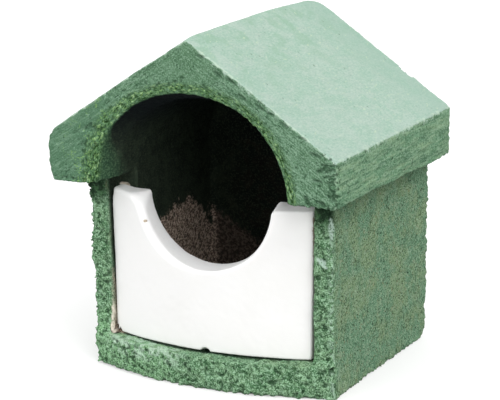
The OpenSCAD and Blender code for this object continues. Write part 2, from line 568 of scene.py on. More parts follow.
def build_roof():
    low = [-ROOF_HALF, FRONT_Y, WALL_TOP - 2]
    high = [ROOF_HALF, BACK_Y, RIDGE_Z]
    grid = Grid(low, high, CASTING_PITCH)
    faces = roof_faces(grid.x, grid.y, grid.z)
    field = roof_solid(faces, grid.x, grid.y)
    relief = roughen_roof(field, grid, faces)
    rng = np.random.default_rng(21)
    chip_roof_edges(field, grid, rng)
    cracks = roof_cracks(rng)
    carve_all(field, grid, rng, cracks)
    flake_roof(field, grid, rng)
    field = np.maximum(field, HOLE_R - np.hypot(grid.x, grid.z - HOLE_Z))
    made = make_object("roof_casting", within(field, grid, low, high), grid, CASTING_TRIANGLES)
    spots = vertices_mm(made)
    x, y, z = spots.T
    at = roof_faces(x, y, z)
    depth = y - FRONT_Y
    low_down = ease(WALL_TOP + 45 - z, 0, 45)
    low_left = ease(-x, 52, 70)
    paint(made, "relief", sampled(grid, relief, spots))
    # Dark inside: dark paint and painted shade. It starts later at the lower left, where light comes in
    # over the rim
    into = (-at["front"] - 0.6) / (1.8 + 32.0 * low_down**1.3 * ease(-x, 10, 45))
    paint(made, "inner", np.where(at["vault"] > -2.5, np.clip(into, 0, 1), 0))
    on_rim = ease(-at["vault"], 8.5 + 4 * low_left, 4.0)
    on_rim = on_rim * (1 - ease(depth, 2.2 + 3 * low_left, 3.4 + 5 * low_left))
    paint(made, "rim", on_rim)
    paint(made, "flecked", low_left * ease(-at["vault"], 36, 6) * ease(-at["front"], 3, 1))
    others = np.maximum.reduce([at["front"], at["fascia"], at["back"]])
    paint(made, "top", np.clip(at["slope"] - others, -9, 9))
    paint(made, "turn", np.clip(at["fascia"] - np.maximum(at["front"], at["back"]), -9, 9))
    # The carved creases, where the material puts painted shade
    paint(made, "crack_shade", inside_any(spots, cracks, 0.3))
    return made


# ------ body casting

def body_faces(x, y, z):
    """Distances outside each face of the body casting, in millimetres."""
    low_down = 1 - z / WALL_TOP
    lean = 1.3 - FOOT_TAPER * low_down
    flare = 1.6 * ease(-z, -45, -5) * ease(-y, -30, 60) - 1.2 * low_down * ease(y, 20, 90)
    side = np.maximum(-x - BODY_HALF - lean, x - BODY_HALF - flare)
    bow = np.hypot(x, y - SILL_BOW_Y) - SILL_R - 0.7 * ease(x, -20, 50)
    ledge = z - (FLOOR_TOP - 0.6)
    chamber = rounded_cut(np.abs(x) - VAULT_R, np.maximum(y - CHAMBER_BACK_Y, SHOULDER_Y - y), 5.0)
    share = (z - PANEL_LOW[2]) / (PANEL_HIGH[2] - PANEL_LOW[2])
    half = PANEL_FOOT_HALF + SIDE_GAP + share * (PANEL_TOP_HALF - PANEL_FOOT_HALF)
    half = half + 0.8 * ease(z, 78, 92) * (x < 0)
    slot = np.maximum(np.abs(x) - half, y - SHOULDER_Y)
    tilt = 1.0 * ease(-x, 0, BODY_HALF) * ease(-y, 20, 60)
    return {
        "front": rounded_join(rounded_cut(bow, ledge, 1.6), JAMB_Y - y, 6.0),
        "side": side,
        "back": y - BACK_Y + 2.8 * np.clip(1 - z / 85, 0, 1) ** 1.3,
        "under": tilt - z,
        "chamber": -rounded_cut(chamber, FLOOR_TOP - z, 4.0),
        "slot": -np.maximum(slot, FLOOR_TOP - z),
    }


def body_solid(faces, x, y, z):
    shell = rounded_cut(faces["front"], faces["side"], 1.2 + 2.0 * ease(-x, 70, 90) * ease(-z, -22, -4))
    shell = rounded_cut(shell, faces["back"], 1.8)
    shell = rounded_cut(shell, faces["under"], 0.9)
    shell = np.maximum(shell, z - (WALL_TOP + 2.5))
    heel = np.hypot(np.maximum(y - BACK_Y + HEEL_R, 0), np.maximum(HEEL_R - z, 0)) - HEEL_R
    shell = np.maximum(shell, heel)
    return rounded_cut(shell, np.maximum(faces["chamber"], faces["slot"]), 0.8 + 0.8 * (x > 0))


def roughen_body(field, grid, faces):
    """Lumps and flakes: strong on the front, less along the other edges, and slight elsewhere."""
    band, near = near_surface(field, grid, faces, 3.5)
    share = face_shares(near)
    flakes = np.maximum(noise(grid, 31, 1.3, band, wide=2.0), noise(grid, 32, 1.3, band, tall=2.0))
    flakes = np.maximum(flakes, noise(grid, 33, 1.3, band, deep=2.0)) - 0.85
    coarse = noise(grid, 34, 2.1, band)
    fine = noise(grid, 35, 0.9, band)
    broad = noise(grid, 36, 9.0, band)
    pits = np.maximum(-coarse - 0.9, 0)
    forward = ease(-grid.axes[1][band[1]], -JAMB_Y - 7, -JAMB_Y)
    rough = np.clip(share["front"] + forward * share["side"], 0, 1)
    lumps = 0.8 * flakes + 0.7 * (np.abs(coarse) - 0.8) - 0.9 * pits + 0.3 * fine
    edges = hump(near["side"], -1, 3.0) * hump(np.maximum(near["back"], near["under"]), -1, 3.0)
    amount = 0.15 + 0.67 * rough + 0.45 * edges + 0.03 * share["chamber"] - 0.06 * share["slot"]
    field[band] -= amount * lumps + (0.15 + 0.20 * rough) * broad
    relief = np.zeros(grid.shape, np.float32)
    relief[band] = lumps
    return relief


def chip_body(field, grid, rng):
    """Bites along the edges, and small pits all over the sides."""
    for side in (-1, 1):
        x = side * BODY_HALF
        chip_edge(field, grid, rng, (x, JAMB_Y, 0), (x, JAMB_Y, WALL_TOP), 40, 1.3, 0.8)
        chip_edge(field, grid, rng, (x, BACK_Y, 0), (x, BACK_Y, WALL_TOP), 70, 1.7, 1.0)
        chip_edge(field, grid, rng, (x, JAMB_Y, 0), (x, BACK_Y, 0), 50, 1.0, 0.5)
        for _ in range(240):
            centre = (x, rng.uniform(JAMB_Y + 4, BACK_Y - 4), rng.uniform(4, WALL_TOP))
            r = rng.uniform(0.35, 0.9)
            carve(field, grid, rng, centre, (r * 1.6, r, r * rng.uniform(0.8, 1.8)))
        inner = side * (PANEL_FOOT_HALF + SIDE_GAP + 0.5)
        chip_edge(field, grid, rng, (inner, JAMB_Y, FLOOR_TOP), (inner, JAMB_Y, WALL_TOP), 40, 1.0, 0.6)
    for x in rng.uniform(-BODY_HALF, BODY_HALF, 110):
        edge_y = SILL_BOW_Y - math.sqrt(SILL_R**2 - x * x)
        r = rng.uniform(0.7, 1.9)
        centre = (x, edge_y + rng.normal() * 0.5, rng.uniform(-1, 1))
        carve(field, grid, rng, centre, (r * 1.5, r, r * 0.9))


def raw_body_bites(rng):
    """Where the left jamb's inner edge and the left shoulder are chipped down to bare concrete."""
    raw = []
    for share in np.linspace(0, 1, 9):
        deep = 2.0 - 1.7 * share**0.5 + rng.uniform(-0.3, 0.3)
        centre = (LEFT_SLOT_X, JAMB_Y + 0.5, FLOOR_TOP + 4 + 50 * share)
        raw.append((centre, (max(deep, 0.7), 3.5, 4.5), UPRIGHT))
    raw.append(((LEFT_SLOT_X + 2.5, SHOULDER_Y + 0.4, PANEL_HIGH[2] + 0.6), (4.0, 1.2, 1.4), UPRIGHT))
    return raw


def under_panel_shade(spots):
    """Painted shade under the panel's foot and in the hollows that open onto it. The joint has no limit
    behind, so it also darkens the middle of the back wall's outside."""
    x, y, z = spots.T
    hollows = [
        ((NICK_X, PANEL_BOW_Y - PANEL_R + 4.0, FLOOR_TOP + 0.5), (4.5, 6.0, 1.6), UPRIGHT),
        ((LEFT_SLOT_X + 1.0, JAMB_Y + 1.0, FLOOR_TOP + 1.5), (4.0, 3.5, 2.4), UPRIGHT),
    ]
    behind = PANEL_R - np.hypot(x, y - PANEL_BOW_Y)
    joint = ease(behind, -1.1, -0.2) * ease(z, FLOOR_TOP - 2, FLOOR_TOP - 1)
    joint = joint * ease(np.abs(x), 3 - LEFT_SLOT_X, 1.5 - LEFT_SLOT_X)
    return np.maximum(inside_any(spots, hollows, 0.5), 0.85 * joint)


def build_body():
    low = [-BODY_HALF - 2.5, SILL_LOW[1] - 1.5, 0.0]
    high = [BODY_HALF + 3.0, BACK_Y, WALL_TOP + 3.0]
    grid = Grid(low, high, CASTING_PITCH)
    faces = body_faces(grid.x, grid.y, grid.z)
    field = body_solid(faces, grid.x, grid.y, grid.z)
    relief = roughen_body(field, grid, faces)
    rng = np.random.default_rng(41)
    chip_body(field, grid, rng)
    raw = raw_body_bites(rng)
    carve_all(field, grid, rng, raw)
    opening = np.maximum(grid.y - SHOULDER_Y, FLOOR_TOP - grid.z)
    slot = np.maximum(opening, np.abs(grid.x) - PANEL_TOP_HALF - 0.6)
    field = within(np.maximum(field, -slot), grid, low, high)
    made = make_object("body_casting", field, grid, CASTING_TRIANGLES)
    spots = vertices_mm(made)
    x, y, z = spots.T
    share = face_shares(body_faces(x, y, z))
    forward = ease(-y, -JAMB_Y - 7, -JAMB_Y)
    # Inside the chamber and the slot: dark paint, deepened with painted shade
    hidden = share["chamber"] + share["slot"] * ease(y, JAMB_Y, JAMB_Y + 5)
    scuffs = [
        ((BODY_HALF, JAMB_Y, 117.0), (1.3, 2.0, 7.5), UPRIGHT),
        ((BODY_HALF - 7, JAMB_Y, 93.0), (5.0, 2.0, 1.0), ((0.82, 0, -0.57), (0, 1, 0), (0.57, 0, 0.82))),
    ]
    paint(made, "relief", sampled(grid, relief, spots))
    paint(made, "inner", np.clip(hidden, 0, 1))
    paint(made, "coarse", np.clip(share["front"] + forward * share["side"], 0, 1))
    paint(made, "raw", inside_any(spots, raw, 0.5))
    # Painted shadow under the roof's eave: the material darkens the wall tops and the jambs' upper ends by
    # it
    paint(made, "eave_shadow", ease(z, WALL_TOP - 26, WALL_TOP - 11))
    paint(made, "scuff", inside_any(spots, scuffs, 0.8))
    paint(made, "hollow_shade", under_panel_shade(spots))
    paint(made, "crest", np.clip(4 * share["front"] * share["side"], 0, 1) * (x > 0))
    paint(made, "patch", raw_patch(spots))
    return made


def raw_patch(spots):
    """Millimetres inside the area of the chamber's lower left and back that was never painted."""
    x, y, z = spots.T
    near = np.clip(26 - y, 0, None)
    far = np.clip(y - 30, 0, None)
    left = 99 - 0.0035 * near**2 - 0.9 * far + 2.0 * np.sin(y * 0.33) - z
    left = np.minimum(left, -x - VAULT_R + 4)
    along = x + VAULT_R
    back = np.minimum(86 - 0.6 * along - z, 0.45 * (40 - along))
    back = np.minimum(back, y - CHAMBER_BACK_Y + 4)
    return np.clip(np.maximum(left, back), -20, 20)


# ------ front panel

def panel_faces(x, y, z):
    """Distances outside each face of the front panel, in millimetres."""
    share = (z - PANEL_LOW[2]) / (PANEL_HIGH[2] - PANEL_LOW[2])
    half = PANEL_FOOT_HALF + share * (PANEL_TOP_HALF - PANEL_FOOT_HALF)
    shift = -0.8 + 0.6 * share
    back = np.clip((y + 72) / 23, 0, 1.1)
    reach = NOTCH_R + 1.5 * ease(x, 15, 45) * (1 - 2.2 * back)
    rise = 2.4 * back * ease(x, 20, 50) + 1.4 * ease(-x, 62, 76)
    return {
        "front": np.hypot(x, y - PANEL_BOW_Y) - PANEL_R,
        "back": y - PANEL_HIGH[1],
        "side": np.abs(x - shift) - half,
        "top": z - PANEL_HIGH[2] - rise,
        "foot": PANEL_LOW[2] - z,
        "notch": reach - 0.4 * back - np.hypot(x + NOTCH_SKEW_X * back, z - NOTCH_Z + NOTCH_SKEW_Z * back),
    }


def panel_solid(faces, x, y):
    forward = ease(-y, -PANEL_HIGH[1], -PANEL_LOW[1] - 5)
    left = ease(-x, 0, 40)
    outline = rounded_cut(faces["side"], faces["top"], 1.6 + 0.8 * left)
    outline = rounded_cut(outline, faces["foot"], 0.8)
    outline = rounded_cut(outline, faces["notch"], 4.8 - 2.6 * left + forward * (13.4 * left - 1.4))
    sharp = 0.7 + (1.0 + 1.4 * left) * ease(np.maximum(faces["notch"], faces["top"]), -9, -3)
    sharp = sharp + (0.5 + 2.8 * left) * ease(faces["notch"], -9, -3)
    solid = rounded_cut(outline, faces["front"], sharp)
    return rounded_cut(solid, faces["back"], 0.7)


def front_y(x):
    """Where the panel's bowed front lies at x."""
    return PANEL_BOW_Y - math.sqrt(PANEL_R**2 - x * x)


def build_panel():
    low = (-PANEL_TOP_HALF, *PANEL_LOW[1:])
    high = (PANEL_TOP_HALF, PANEL_HIGH[1], PANEL_HIGH[2] + 3)
    grid = Grid(low, high, PANEL_PITCH)
    faces = panel_faces(grid.x, grid.y, grid.z)
    field = panel_solid(faces, grid.x, grid.y)
    cad = np.maximum.reduce(np.broadcast_arrays(*faces.values()))
    band = np.nonzero(np.abs(field) < 3)
    field[band] += 0.05 - 0.03 * noise(grid, 51, 2.2, band) - 0.06 * noise(grid, 52, 11.0, band)
    rng = np.random.default_rng(61)
    edge_y = front_y(PANEL_TOP_HALF)
    low_z, top_z = PANEL_LOW[2], PANEL_HIGH[2]
    raw = []
    for _ in range(26):
        z = top_z - 3 - 26 * rng.uniform() ** 1.3
        r = rng.uniform(0.5, 1.2)
        raw.append(((PANEL_TOP_HALF, edge_y, z), (r, r * 1.1, r * 1.7), UPRIGHT))
    carve_all(field, grid, rng, raw)
    corner = (-PANEL_FOOT_HALF, edge_y, low_z)
    chip_edge(field, grid, rng, corner, (9 - PANEL_FOOT_HALF, edge_y - 2, low_z), 10, 1.5, 0.5)
    chip_edge(field, grid, rng, corner, (-PANEL_FOOT_HALF, edge_y, low_z + 6), 6, 1.2, 0.4)
    carve(field, grid, rng, (NICK_X, front_y(NICK_X), low_z), (3.6, 5.0, 2.3), UPRIGHT)
    fleck_x = -47.0
    raw.append(((fleck_x, front_y(fleck_x) + 2.0, top_z - 17.5), (1.0, 2.0, 0.6), UPRIGHT))
    rim_r = NOTCH_R - 0.4
    for angle in rng.uniform(math.pi, 2 * math.pi, 26):
        x = rim_r * math.cos(angle) - NOTCH_SKEW_X
        z = NOTCH_Z - NOTCH_SKEW_Z + rim_r * math.sin(angle)
        r = rng.uniform(0.4, 0.9)
        carve(field, grid, rng, (x, PANEL_HIGH[1], z), (r * 2, r, r * 0.8))
    made = make_object("front_panel_cast", np.maximum(field, cad), grid, PANEL_TRIANGLES)
    spots = vertices_mm(made)
    share = face_shares(panel_faces(*spots.T))
    # The notch's cut face and the top, which the material paints a lighter white as painted light
    paint(made, "notch", share["notch"] + share["top"])
    paint(made, "raw", inside_any(spots, raw, 0.35))
    return made


# ------ materials

class Nodes:
    """Short calls for the nodes of a tree."""

    def __init__(self, tree):
        self.tree = tree

    def node(self, kind, **settings):
        made = self.tree.nodes.new(kind)
        for key, value in settings.items():
            setattr(made, key, value)
        return made

    def feed(self, socket, value):
        if isinstance(value, bpy.types.NodeSocket):
            self.tree.links.new(value, socket)
        elif isinstance(value, tuple) and len(value) == 3 and socket.type == "RGBA":
            socket.default_value = (*value, 1.0)
        else:
            socket.default_value = value

    def math(self, operation, a, b=0.0):
        made = self.node("ShaderNodeMath", operation=operation)
        self.feed(made.inputs[0], a)
        self.feed(made.inputs[1], b)
        return made.outputs[0]

    def times(self, *factors):
        product = factors[0]
        for factor in factors[1:]:
            product = self.math("MULTIPLY", product, factor)
        return product

    def ramp(self, value, start, end, low=0.0, high=1.0):
        """low before start, high after end, smooth between them."""
        made = self.node("ShaderNodeMapRange", interpolation_type="SMOOTHSTEP")
        for socket, v in zip(made.inputs, (value, start, end, low, high)):
            self.feed(socket, v)
        return made.outputs[0]

    def seen(self):
        """1 for what the camera sees, also mirrored or through glass, and 0 for light on things."""
        path = self.node("ShaderNodeLightPath").outputs
        seen = self.math("MAXIMUM", path["Is Camera Ray"], path["Is Glossy Ray"])
        return self.math("MAXIMUM", seen, path["Is Transmission Ray"])


class Shader(Nodes):
    """A material whose textures lie on the object's own axes."""

    def __init__(self, name):
        self.material = bpy.data.materials.new(name)
        self.material.use_nodes = True
        super().__init__(self.material.node_tree)
        self.surface = self.tree.nodes["Principled BSDF"]
        self.surface.inputs["Specular IOR Level"].default_value = 0.06
        self.place = self.node("ShaderNodeTexCoord").outputs["Object"]

    def mix(self, factor, a, b):
        made = self.node("ShaderNodeMix", data_type="RGBA")
        self.feed(made.inputs[0], factor)
        self.feed(made.inputs[6], a)
        self.feed(made.inputs[7], b)
        return made.outputs[2]

    def layers(self, colour, *coats):
        """The colour under its coats. Each covers it up to cover as its texture goes from start to end."""
        for texture, start, end, cover, tint in coats:
            colour = self.mix(self.ramp(texture, start, end, 0.0, cover), colour, tint)
        return colour

    def band(self, value, start, full, fading, end):
        """1 from full to fading, 0 before start and after end."""
        return self.times(self.ramp(value, start, full), self.ramp(value, end, fading))

    def attribute(self, name):
        return self.node("ShaderNodeAttribute", attribute_name=name).outputs["Fac"]

    def noise(self, size, detail=2.0, roughness=0.5, stretch=(1, 1, 1), turn=0.0, warp=0.0, at=None):
        """Noise with lumps about that many millimetres across, stretched along axes turned about Y."""
        place = self.node("ShaderNodeMapping", vector_type="TEXTURE")
        self.feed(place.inputs["Vector"], self.place if at is None else at)
        place.inputs["Rotation"].default_value = (0, turn, 0)
        place.inputs["Scale"].default_value = [size * MM * s for s in stretch]
        made = self.node("ShaderNodeTexNoise")
        self.feed(made.inputs["Vector"], place.outputs[0])
        made.inputs["Scale"].default_value = 1.0
        made.inputs["Detail"].default_value = detail
        made.inputs["Roughness"].default_value = roughness
        made.inputs["Distortion"].default_value = warp
        return made.outputs["Fac"]

    def axis(self, index):
        made = self.node("ShaderNodeSeparateXYZ")
        self.feed(made.inputs[0], self.place)
        return made.outputs[index]

    def join(self, x, y, z):
        made = self.node("ShaderNodeCombineXYZ")
        for socket, value in zip(made.inputs, (x, y, z)):
            self.feed(socket, value)
        return made.outputs[0]

    def folded(self):
        """The place with its left half mirrored onto the right half."""
        return self.join(self.math("ABSOLUTE", self.axis(0)), self.axis(1), self.axis(2))

    def round_arch(self):
        """The place as lengths round the mouth, out from the vault's axis, and along it."""
        x = self.axis(0)
        z = self.math("SUBTRACT", self.axis(2), VAULT_Z * MM)
        out = self.math("SQRT", self.math("ADD", self.times(x, x), self.times(z, z)))
        return self.join(self.times(self.math("ARCTAN2", z, x), MOUTH_R * MM), out, self.axis(1))

    def bump(self, height, depth_mm, normal=None):
        made = self.node("ShaderNodeBump")
        made.inputs["Distance"].default_value = depth_mm * MM
        made.inputs["Strength"].default_value = 1.0
        self.feed(made.inputs["Height"], height)
        if normal is not None:
            self.feed(made.inputs["Normal"], normal)
        return made.outputs[0]

    def finish(self, colour, roughness, normal=None):
        self.feed(self.surface.inputs["Base Color"], colour)
        self.feed(self.surface.inputs["Roughness"], roughness)
        if normal is not None:
            self.feed(self.surface.inputs["Normal"], normal)
        return self.material


def roof_front_colour(s):
    """Deep green, brushed down both slopes and grained, smoother and darker on the left."""
    grain = s.noise(1.1, 1, 0.5)
    folded = s.folded()
    brush = s.noise(0.9, 2, 0.6, (8, 1, 1), BRUSH_TURN, at=folded)
    wide_brush = s.noise(2.6, 2, 0.6, (7, 1, 1), BRUSH_TURN, at=folded)
    pits = s.noise(1.9, 1, 0.5, (1.8, 1, 1), BRUSH_TURN, at=folded)
    smooth = s.ramp(s.axis(0), -0.040, -0.075)
    strength = s.ramp(smooth, 0.0, 1.0, 0.60, 0.26)
    brushed = s.times(strength, s.ramp(s.math("ABSOLUTE", s.axis(0)), 0.004, 0.034, 0.25, 1.0))
    grained = s.times(strength, 0.85)
    colour = s.layers((0.104, 0.206, 0.117), (s.noise(14, 3, 0.6), 0.35, 0.65, 1.0, (0.13, 0.242, 0.148)))
    colour = s.layers(
        s.mix(smooth, colour, (0.086, 0.182, 0.106)),
        (wide_brush, 0.52, 0.68, 0.40, (0.19, 0.32, 0.215)),
        (wide_brush, 0.46, 0.34, 0.40, (0.062, 0.135, 0.074)),
        (brush, 0.51, 0.68, brushed, (0.255, 0.4, 0.285)),
        (brush, 0.49, 0.32, brushed, (0.04, 0.095, 0.05)),
        (grain, 0.51, 0.68, grained, (0.255, 0.4, 0.285)),
        (grain, 0.49, 0.32, grained, (0.04, 0.095, 0.05)),
        # Painted shade: dark specks for small pits
        (pits, 0.32, 0.26, 0.8, (0.026, 0.065, 0.033)),
        (pits, 0.69, 0.76, 0.5, (0.27, 0.43, 0.3)),
    )
    return colour, grain, brush


def fascia_colour(s):
    """Green in long streaks from front to back."""
    streaks = s.noise(1.5, 3, 0.65, (1, 12, 1), warp=0.4)
    wide_streaks = s.noise(4.0, 2, 0.6, (1, 7, 1))
    grain = s.noise(1.0, 1, 0.5, (1, 2, 1))
    return s.layers(
        (0.127, 0.258, 0.148),
        (s.noise(12, 3, 0.6, (1, 2, 1)), 0.35, 0.65, 1.0, (0.181, 0.308, 0.184)),
        (wide_streaks, 0.53, 0.64, 0.7, (0.235, 0.36, 0.215)),
        (wide_streaks, 0.46, 0.36, 0.65, (0.07, 0.155, 0.088)),
        (streaks, 0.52, 0.68, 0.6, (0.3, 0.43, 0.29)),
        (streaks, 0.47, 0.33, 0.6, (0.06, 0.13, 0.07)),
        (grain, 0.51, 0.68, 0.45, (0.3, 0.45, 0.33)),
        (grain, 0.49, 0.32, 0.50, (0.045, 0.1, 0.055)),
        (s.noise(2.0, 1, 0.5, (1, 2.2, 1)), 0.31, 0.26, 0.8, (0.025, 0.06, 0.03)),
    )


def slope_colour(s):
    """Pale grey-green, partly dust and partly a painted sheen, with smears, and lime flecks near the
    ridge.
    """
    grain = s.noise(1.1, 1, 0.5, (1, 2, 1))
    smears = s.noise(3.2, 3, 0.6, (1, 3.5, 1), warp=0.5)
    high = s.ramp(s.axis(2), 0.185, 0.235, 0.0, 0.5)
    flecked = s.ramp(s.noise(10, 2), 0.45, 0.6, 0.0, 0.5)
    return s.layers(
        (0.302, 0.436, 0.355),
        (s.noise(11, 3, 0.6, (1, 1.6, 1), warp=0.6), 0.34, 0.66, 1.0, (0.356, 0.46, 0.396)),
        (smears, 0.52, 0.70, 0.30, (0.41, 0.518, 0.452)),
        (smears, 0.47, 0.32, 0.28, (0.27, 0.405, 0.322)),
        (grain, 0.48, 0.70, 0.34, (0.45, 0.56, 0.49)),
        (grain, 0.44, 0.30, 0.32, (0.22, 0.35, 0.265)),
        (s.noise(16, 3, 0.6), 0.48, 0.62, high, (0.235, 0.385, 0.275)),
        (s.axis(1), 0.025, 0.088, 0.5, (0.265, 0.4, 0.325)),
        (s.noise(1.7, 2, 0.6, (1, 2.2, 1)), 0.63, 0.68, flecked, (0.5, 0.61, 0.42)),
    )


def inside_colour(s, tint, deepest, lit_x):
    """Nearly black, with painted light making it a little lighter toward the left wall, and with specks.
    """
    tint = s.mix(s.ramp(s.axis(0), -0.030, lit_x), tint, (0.026, 0.038, 0.025))
    tint = s.mix(s.ramp(s.noise(11.0, 3, 0.6), 0.40, 0.66, 0.45, 1.0), deepest, tint)
    return s.layers(tint, (s.noise(1.4, 2, 0.6), 0.48, 0.64, 0.8, (0.04, 0.054, 0.034)))


def roof_material():
    s = Shader("roof_paint")
    front, grain, brush = roof_front_colour(s)
    rough_line = s.times(s.math("SUBTRACT", s.noise(3.6, 3, 0.55), 0.5), 3.2)
    top = s.math("ADD", s.attribute("top"), rough_line)
    turn = s.math("ADD", s.attribute("turn"), rough_line)
    # Paint lost in patches along the roof's edges, and in flakes down the right slope's front edge
    patches = s.noise(6.0, 3, 0.65)
    worn = s.times(s.band(top, -1.4, 0.0, 0.8, 2.2), 0.75)
    worn_turn = s.times(s.band(turn, -1.2, 0.2, 1.2, 2.6), s.ramp(top, 0.0, -1.0, 0.0, 0.6))
    flaked = s.times(s.ramp(s.noise(9.0, 2), 0.44, 0.58, 0.0, 0.7), s.ramp(s.axis(0), 0.002, 0.012))
    flaked = s.times(flaked, s.band(top, -3.4, -0.8, 0.6, 2.0))
    colour = s.layers(
        front,
        (turn, -0.8, 0.8, 1.0, fascia_colour(s)),
        # Slopes in pale paint, partly dust and partly painted sheen
        (top, -0.35, 0.35, 1.0, slope_colour(s)),
        (patches, 0.46, 0.60, worn, (0.45, 0.57, 0.46)),
        (s.noise(2.0, 3, 0.65, (2.2, 1, 1), BRUSH_TURN), 0.50, 0.59, flaked, (0.4, 0.53, 0.44)),
        (patches, 0.46, 0.60, worn_turn, (0.3, 0.44, 0.31)),
        # Painted shade in the low parts of the relief
        (s.attribute("relief"), -0.3, -0.9, 0.75, (0.022, 0.056, 0.028)),
    )
    # Painted shade in the carved creases
    colour = s.mix(s.times(s.attribute("crack_shade"), 0.55), colour, (0.02, 0.05, 0.026))
    arch = s.round_arch()
    flakes = s.noise(1.3, 2, 0.6, (2.2, 1, 1), warp=0.3, at=arch)
    clumps = s.ramp(s.noise(5.0, 2, 0.6, (1.6, 1, 1), at=arch), 0.34, 0.54, 0.35, 1.0)
    rim = s.times(s.attribute("rim"), clumps)
    flecked = s.times(s.attribute("flecked"), s.ramp(s.noise(8.0, 2), 0.50, 0.58))
    # The inside: dark paint and painted shade, deepening inward
    inner = s.attribute("inner")
    grainy = s.times(s.math("SUBTRACT", s.noise(2.0, 3, 0.7), 0.5), 0.9, inner)
    inner = s.math("ADD", inner, grainy)
    shade = s.layers((0.02, 0.05, 0.027), (s.noise(1.4, 2, 0.6), 0.42, 0.60, 1.0, (0.06, 0.12, 0.062)))
    dark = inside_colour(s, (0.01, 0.014, 0.012), (0.006, 0.009, 0.009), -0.066)
    # Painted shade: the vault's inside darkest toward its top
    dark = s.mix(s.ramp(s.axis(2), 0.155, 0.190), dark, (0.004, 0.006, 0.007))
    colour = s.layers(
        s.mix(s.times(rim, 0.60), colour, (0.082, 0.18, 0.066)),
        # Painted shade: near-black between the flakes at the rim
        (flakes, 0.48, 0.40, rim, (0.02, 0.056, 0.014)),
        (flakes, 0.55, 0.60, rim, (0.17, 0.31, 0.088)),
        (flakes, 0.60, 0.66, rim, (0.31, 0.47, 0.27)),
        (s.noise(1.9, 2, 0.6, warp=0.8), 0.56, 0.61, flecked, (0.19, 0.35, 0.12)),
        (inner, 0.0, 0.20, 0.92, shade),
        (inner, 0.15, 1.0, 1.0, dark),
    )
    normal = s.bump(brush, 0.30, s.bump(grain, 0.30))
    return s.finish(colour, s.ramp(grain, 0.2, 0.8, 0.75, 0.95), normal)


def wall_colour(s, grain):
    """Trowelled side: bluish and khaki greens with fine grain, small pits as dark specks of painted shade,
    and rusty specks.
    """
    patch = s.noise(6.0, 3, 0.6, warp=0.5)
    tufts = s.noise(2.6, 2, 0.6)
    dotted = s.ramp(s.noise(13, 2), 0.50, 0.60, 0.0, 0.75)
    return s.layers(
        (0.127, 0.258, 0.154),
        (s.noise(17, 3, 0.6), 0.40, 0.62, 1.0, (0.185, 0.28, 0.148)),
        (patch, 0.52, 0.66, 0.6, (0.232, 0.325, 0.212)),
        (patch, 0.46, 0.34, 0.4, (0.09, 0.175, 0.102)),
        (tufts, 0.52, 0.68, 0.45, (0.245, 0.355, 0.24)),
        (tufts, 0.48, 0.32, 0.45, (0.062, 0.128, 0.07)),
        (s.noise(2.4, 1), 0.64, 0.70, 0.5, (0.24, 0.2, 0.11)),
        (grain, 0.51, 0.68, 0.62, (0.33, 0.45, 0.32)),
        (grain, 0.49, 0.32, 0.70, (0.038, 0.08, 0.042)),
        # Painted shade: dark specks for small pits
        (s.noise(1.7, 1), 0.345, 0.29, 1.0, (0.014, 0.03, 0.015)),
        (s.noise(1.9, 1), 0.42, 0.36, dotted, (0.022, 0.05, 0.024)),
    )


def coarse_colour(s, grain):
    """Rough cast front: mottled greens, with painted highlights on pale crowns and painted shade in
    near-black hollows.
    """
    lumps = s.noise(2.6, 2, 0.6, warp=0.6)
    low_down = s.ramp(s.axis(2), 0.050, 0.028, 0.0, 0.7)
    # A pale smear along the sill's left half
    across = s.band(s.axis(0), -0.082, -0.072, -0.030, 0.0)
    upward = s.band(s.axis(2), 0.010, 0.018, 0.026, 0.040)
    smear = s.times(across, upward, s.ramp(s.noise(5.0, 3, 0.6), 0.42, 0.56, 0.0, 0.9))
    colour = s.layers(
        (0.082, 0.185, 0.088),
        (s.noise(7.0, 3, 0.6), 0.36, 0.62, 1.0, (0.17, 0.3, 0.165)),
        (s.axis(0), 0.010, -0.060, low_down, (0.205, 0.4, 0.2)),
    )
    colour = s.layers(
        s.mix(smear, colour, (0.46, 0.61, 0.48)),
        # Painted highlights on pale crowns and painted shade in near-black hollows
        (lumps, 0.52, 0.66, 0.64, (0.32, 0.52, 0.34)),
        (lumps, 0.46, 0.36, 0.88, (0.022, 0.066, 0.026)),
        (grain, 0.53, 0.68, 0.62, (0.4, 0.61, 0.42)),
        (grain, 0.47, 0.34, 0.68, (0.02, 0.058, 0.024)),
    )
    colour = s.mix(s.times(smear, 0.5), colour, (0.45, 0.62, 0.48))
    crest = s.times(s.attribute("crest"), 0.6)
    return s.layers(colour, (s.noise(4.0, 3, 0.6), 0.44, 0.56, crest, (0.37, 0.51, 0.4)))


